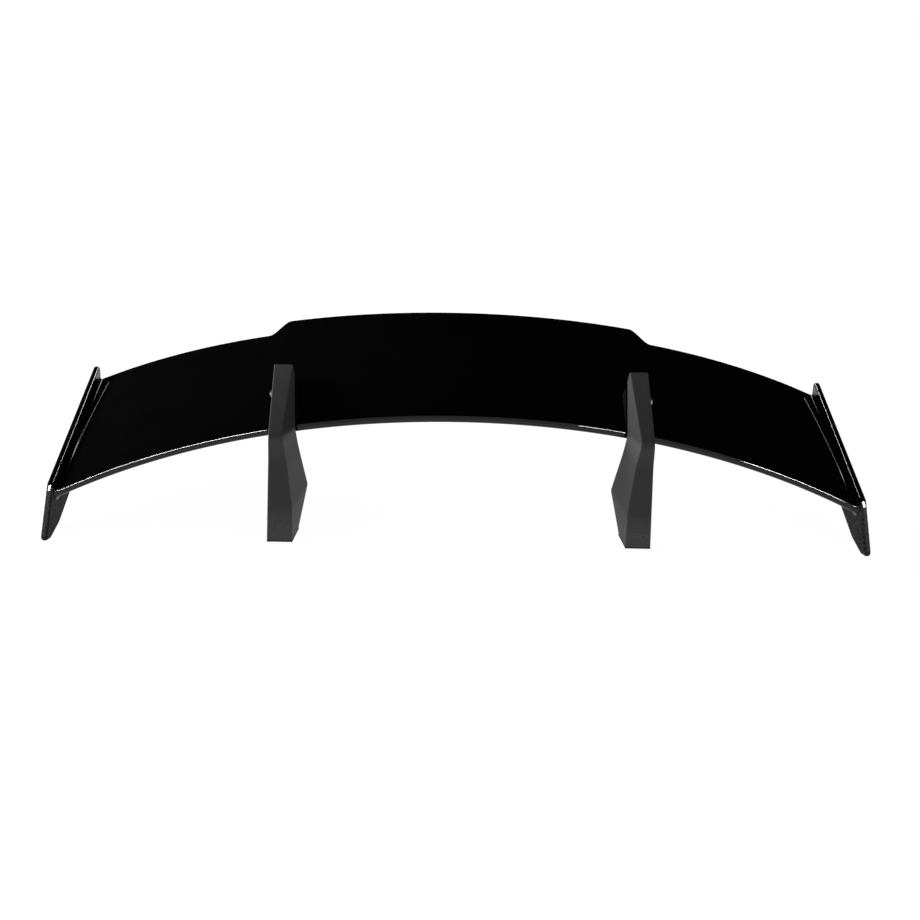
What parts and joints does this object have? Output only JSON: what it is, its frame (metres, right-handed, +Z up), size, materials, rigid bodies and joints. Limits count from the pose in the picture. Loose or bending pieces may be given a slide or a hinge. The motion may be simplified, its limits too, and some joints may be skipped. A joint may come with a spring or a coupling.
{
  "type": "racing rear wing",
  "caption": "Arched gloss-black rear wing with end plates, carried from above by two swan-neck uprights; the wing tilts about cross bolts and locks in arc slots.",
  "frame": {"origin": "bottom centre of the overall box: midway between the uprights, midway between the foremost and the rearmost point, level with the lowest point of the end plates, 4.95 mm below the feet", "axes": "+X to the right as seen from the front, +Y rearwards from leading edge to trailing edge, +Z up"},
  "size_m": [1.418, 0.4354, 0.2606],
  "materials": {
    "wing_gloss": "deep gloss black",
    "end_plate_gloss": "deep gloss black",
    "spar_tube": "mill finish",
    "rib_plastic": "moulded black",
    "machined_aluminium": "machined",
    "pad_rubber": "soft matt black",
    "neck_plate_paint": "satin black",
    "cover_plastic": "satin dark grey",
    "black_screws": "black oxide",
    "steel_fasteners": "zinc plated",
    "cap_chrome": "polished",
    "bush_brass": "turned bronze"
  },
  "bodies": {
    "uprights": {"neck_plate_right": "neck_plate_paint", "neck_plate_left": "neck_plate_paint", "pivot_bush_right": "bush_brass", "pivot_bush_left": "bush_brass", "pivot_cap_right": "cap_chrome", "pivot_cap_left": "cap_chrome", "neck_cover_right": "cover_plastic", "neck_cover_left": "cover_plastic", "cover_lid_right": "cover_plastic", "cover_lid_left": "cover_plastic", "cover_lid_screws_right": "black_screws", "cover_lid_screws_left": "black_screws", "foot_block_right": "machined_aluminium", "foot_block_left": "machined_aluminium", "foot_screws_right": "steel_fasteners", "foot_screws_left": "steel_fasteners", "foot_gasket_right": "pad_rubber", "foot_gasket_left": "pad_rubber"},
    "wing": {"wing_upper_skin": "wing_gloss", "wing_lower_skin": "wing_gloss", "wing_spar": "spar_tube", "hard_point_right": "machined_aluminium", "hard_point_left": "machined_aluminium", "tip_rib_right": "rib_plastic", "tip_rib_left": "rib_plastic", "end_plate_right": "end_plate_gloss", "end_plate_left": "end_plate_gloss", "end_plate_screws_right": "black_screws", "end_plate_screws_left": "black_screws", "clevis_right": "machined_aluminium", "clevis_left": "machined_aluminium", "clevis_pad_right": "pad_rubber", "clevis_pad_left": "pad_rubber", "clevis_screws_right": "steel_fasteners", "clevis_screws_left": "steel_fasteners", "pivot_bolt_right": "steel_fasteners", "pivot_bolt_left": "steel_fasteners", "pivot_nut_right": "steel_fasteners", "pivot_nut_left": "steel_fasteners", "adjuster_bolt_right": "steel_fasteners", "adjuster_bolt_left": "steel_fasteners", "adjuster_nut_right": "steel_fasteners", "adjuster_nut_left": "steel_fasteners"}
  },
  "joints": [
    {"name": "wing_tilt", "type": "hinge", "parent": "uprights", "child": "wing", "pos_m": [0, -0.04362, 0.20808], "axis": [1, 0, 0], "range_deg": [-4, 4]}
  ]
}
